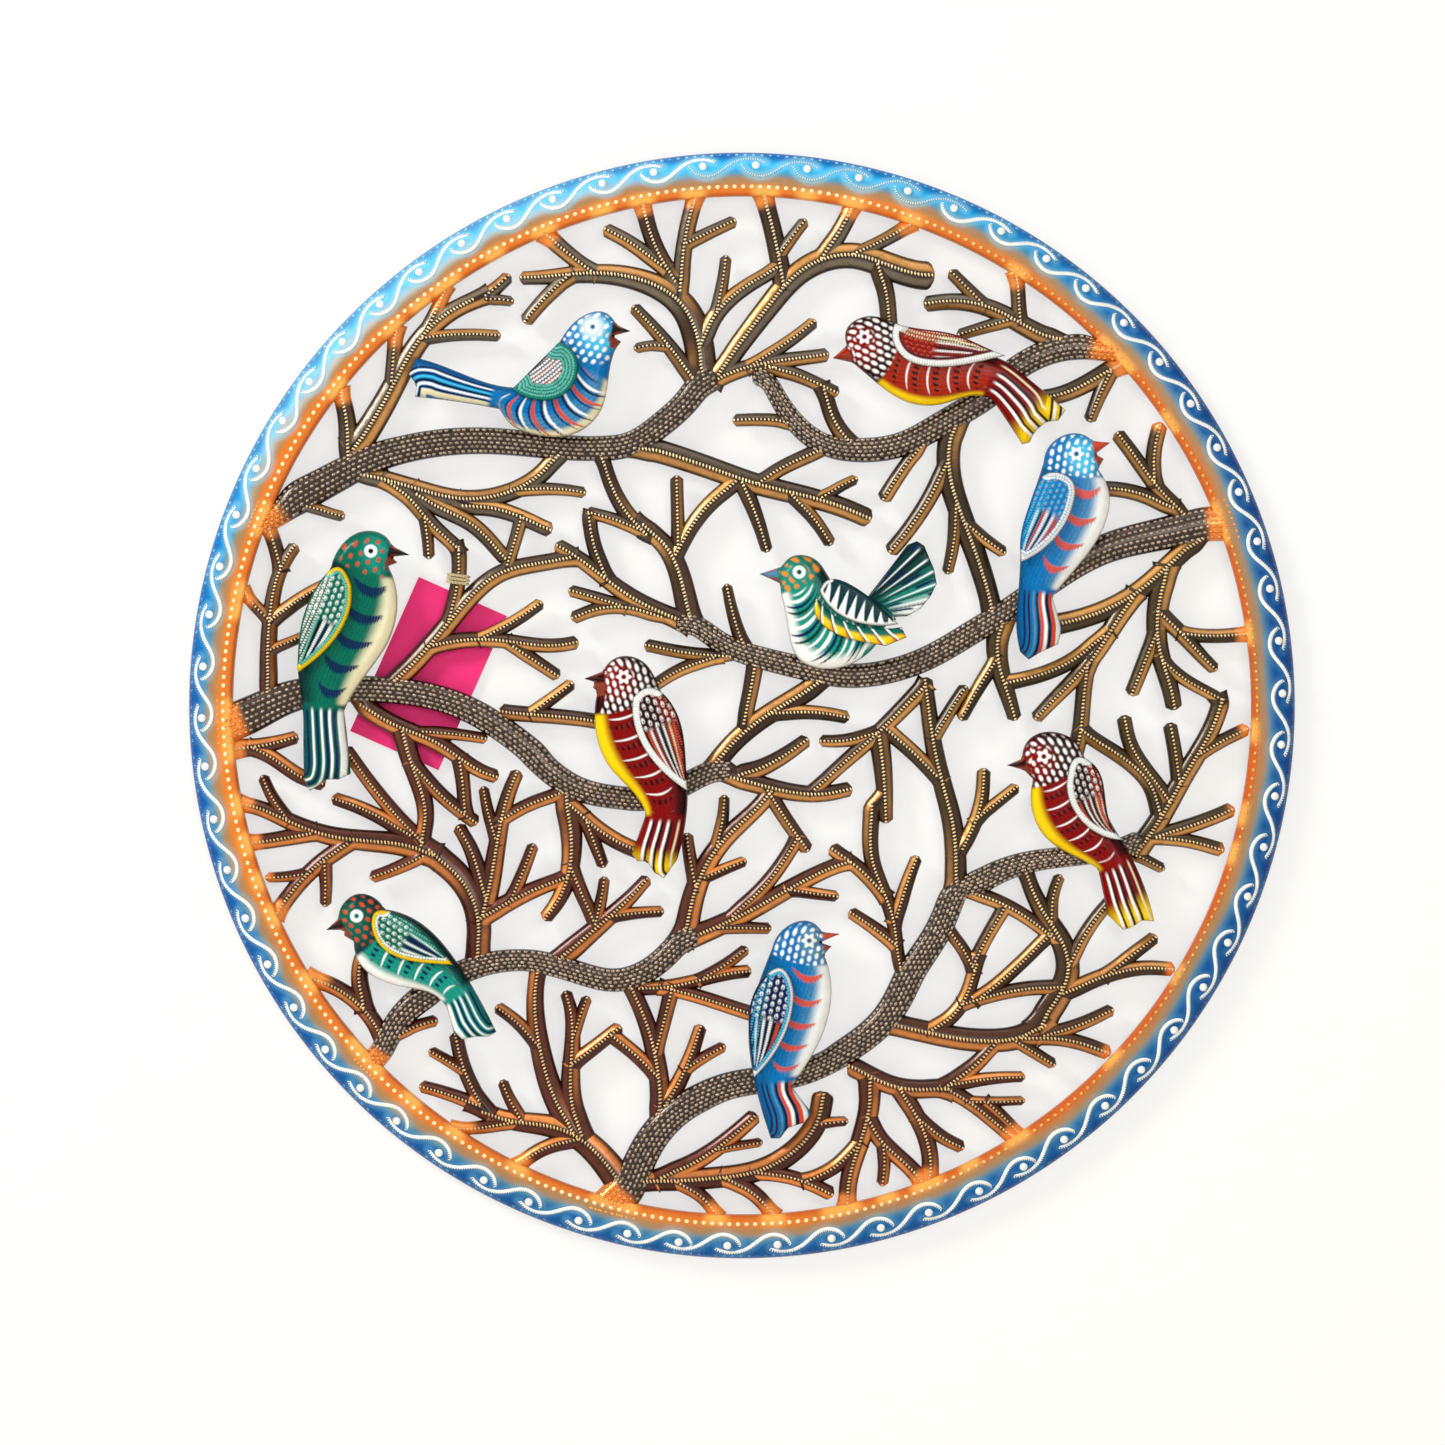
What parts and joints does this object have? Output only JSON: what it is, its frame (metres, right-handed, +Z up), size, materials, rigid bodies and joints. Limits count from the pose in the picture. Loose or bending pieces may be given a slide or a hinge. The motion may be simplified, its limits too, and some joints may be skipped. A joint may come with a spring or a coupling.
{
  "type": "openwork metal wall art",
  "caption": "Round openwork wall piece in painted hammered steel: rim, limbs and twigs with birds standing in front, and a card tag on a twine.",
  "frame": {"origin": "centre of the round piece, on the wall plane at the back of the rim", "axes": "+X to the right and +Z up as it hangs, seen from the front; the front faces -Y and the wall is at +Y"},
  "size_m": [0.5839, 0.0255, 0.584],
  "materials": {
    "panel": "hand-painted bronze and gold over hammered steel, satin",
    "blue_paint": "hand-painted, satin",
    "red_paint": "hand-painted, satin",
    "green_paint": "hand-painted, satin",
    "pins": "dark painted steel pins",
    "twine": "natural twisted twine",
    "card": "matte dyed card, stood in for by a plastic of near density"
  },
  "bodies": {
    "panel": {"openwork_panel": "panel", "blue_top_left_bird_body": "blue_paint", "blue_top_left_bird_posts": "pins", "blue_top_left_bird_wing": "blue_paint", "blue_top_left_bird_wing_rivets": "pins", "red_top_right_bird_body": "red_paint", "red_top_right_bird_posts": "pins", "red_top_right_bird_wing": "red_paint", "red_top_right_bird_wing_rivets": "pins", "blue_right_bird_body": "blue_paint", "blue_right_bird_posts": "pins", "blue_right_bird_wing": "blue_paint", "blue_right_bird_wing_rivets": "pins", "green_left_bird_body": "green_paint", "green_left_bird_posts": "pins", "green_left_bird_wing": "green_paint", "green_left_bird_wing_rivets": "pins", "green_centre_bird_body": "green_paint", "green_centre_bird_posts": "pins", "green_centre_bird_feathers": "green_paint", "green_centre_bird_feathers_rivets": "pins", "green_centre_bird_covert": "green_paint", "green_centre_bird_covert_rivets": "pins", "red_centre_bird_body": "red_paint", "red_centre_bird_posts": "pins", "red_centre_bird_wing": "red_paint", "red_centre_bird_wing_rivets": "pins", "red_right_bird_body": "red_paint", "red_right_bird_posts": "pins", "red_right_bird_wing": "red_paint", "red_right_bird_wing_rivets": "pins", "green_lower_left_bird_body": "green_paint", "green_lower_left_bird_posts": "pins", "green_lower_left_bird_wing": "green_paint", "green_lower_left_bird_wing_rivets": "pins", "blue_bottom_bird_body": "blue_paint", "blue_bottom_bird_posts": "pins", "blue_bottom_bird_wing": "blue_paint", "blue_bottom_bird_wing_rivets": "pins", "green_centre_bird_tail": "green_paint", "green_centre_bird_tail_post": "pins", "tag_twine": "twine"},
    "tag": {"hang_tag": "card"}
  },
  "joints": [
    {"name": "tag_swing", "type": "hinge", "parent": "panel", "child": "tag", "pos_m": [-0.14928, -0.00225, 0.05292], "axis": [0, 1, 0], "range_deg": [-60, 15]}
  ]
}
